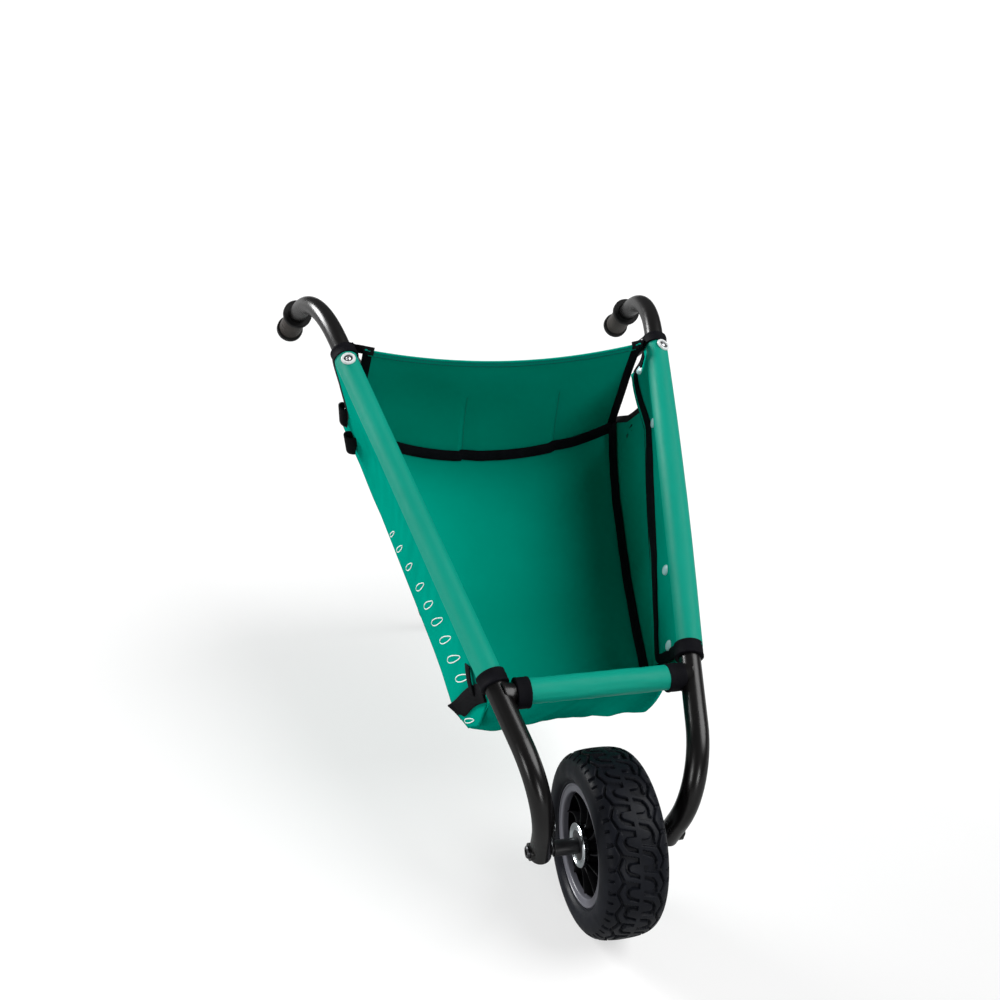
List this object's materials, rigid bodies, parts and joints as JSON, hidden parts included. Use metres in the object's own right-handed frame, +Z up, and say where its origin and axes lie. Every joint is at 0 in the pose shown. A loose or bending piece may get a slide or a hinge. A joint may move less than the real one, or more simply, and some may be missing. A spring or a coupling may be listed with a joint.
{
  "type": "wheelbarrow",
  "caption": "Child's single-wheel barrow: bent steel tube frame with a sewn fabric trough, a knobbly rubber wheel that spins, rubber grips and a rear stand.",
  "frame": {"origin": "centre of the overall box on the ground plane", "axes": "+Z up, -Y towards the wheel (front), +Y towards the grips, +X to the right when looking from the wheel's end"},
  "size_m": [0.5486, 0.889, 0.5035],
  "materials": {
    "frame_black": "gloss black powder coat",
    "screw_black": "blackened steel",
    "axle_steel": "blackened steel",
    "spacer_black": "satin black plastic",
    "bearing_steel": "bearing steel",
    "rim_black": "satin black plastic",
    "rim_silver": "silver grey painted plastic",
    "hub_zinc": "zinc plated",
    "tyre": "moulded rubber",
    "grip_rubber": "moulded rubber",
    "foot_rubber": "moulded rubber",
    "cloth_green": "coated polyester weave",
    "binding_black": "bias binding tape",
    "webbing_black": "woven webbing",
    "stud_pale": "pale blue plastic press stud",
    "ring_white": "white plastic",
    "rivet_chrome": "polished"
  },
  "bodies": {
    "root": {"axle": "axle_steel", "axle_boss_left": "frame_black", "axle_boss_right": "frame_black", "axle_spacer_left": "spacer_black", "axle_spacer_right": "spacer_black", "bearing_inner_race_left": "bearing_steel", "bearing_inner_race_right": "bearing_steel", "closing_strip_left": "cloth_green", "closing_strip_right": "cloth_green", "collar_ring_left": "ring_white", "collar_ring_right": "ring_white", "collar_rivet_left": "rivet_chrome", "collar_rivet_right": "rivet_chrome", "corner_strap_left": "webbing_black", "corner_strap_right": "webbing_black", "crossbar_cuff_left": "binding_black", "crossbar_cuff_right": "binding_black", "crossbar_sleeve": "cloth_green", "flap_binding": "binding_black", "floor_binding_left": "binding_black", "floor_binding_right": "binding_black", "floor_panel": "cloth_green", "fork_plug_left": "frame_black", "fork_plug_right": "frame_black", "fork_screw_left": "screw_black", "fork_screw_right": "screw_black", "front_crossbar": "frame_black", "front_cuff_left": "binding_black", "front_cuff_right": "binding_black", "front_panel": "cloth_green", "grip_left": "grip_rubber", "grip_right": "grip_rubber", "press_studs_left": "stud_pale", "press_studs_right": "stud_pale", "rear_cuff_left": "binding_black", "rear_cuff_right": "binding_black", "rear_flap": "cloth_green", "rear_tabs_left": "webbing_black", "rear_tabs_right": "webbing_black", "side_panel_left": "cloth_green", "side_panel_right": "cloth_green", "side_tube_left": "frame_black", "side_tube_right": "frame_black", "sleeve_left": "cloth_green", "sleeve_right": "cloth_green", "stand_foot_left": "foot_rubber", "stand_foot_right": "foot_rubber", "stand_leg_left": "frame_black", "stand_leg_right": "frame_black", "stand_spigot": "bearing_steel"},
    "wheel": {"bearing_balls_left": "bearing_steel", "bearing_balls_right": "bearing_steel", "bearing_outer_race_left": "bearing_steel", "bearing_outer_race_right": "bearing_steel", "hub_cup_left": "hub_zinc", "hub_cup_right": "hub_zinc", "rim_ring_left": "rim_silver", "rim_ring_right": "rim_silver", "tyre": "tyre", "wheel_rim": "rim_black"}
  },
  "joints": [
    {"name": "wheel_spin", "type": "hinge", "parent": "root", "child": "wheel", "pos_m": [0, -0.3437, 0.101], "axis": [1, 0, 0], "continuous": true}
  ]
}
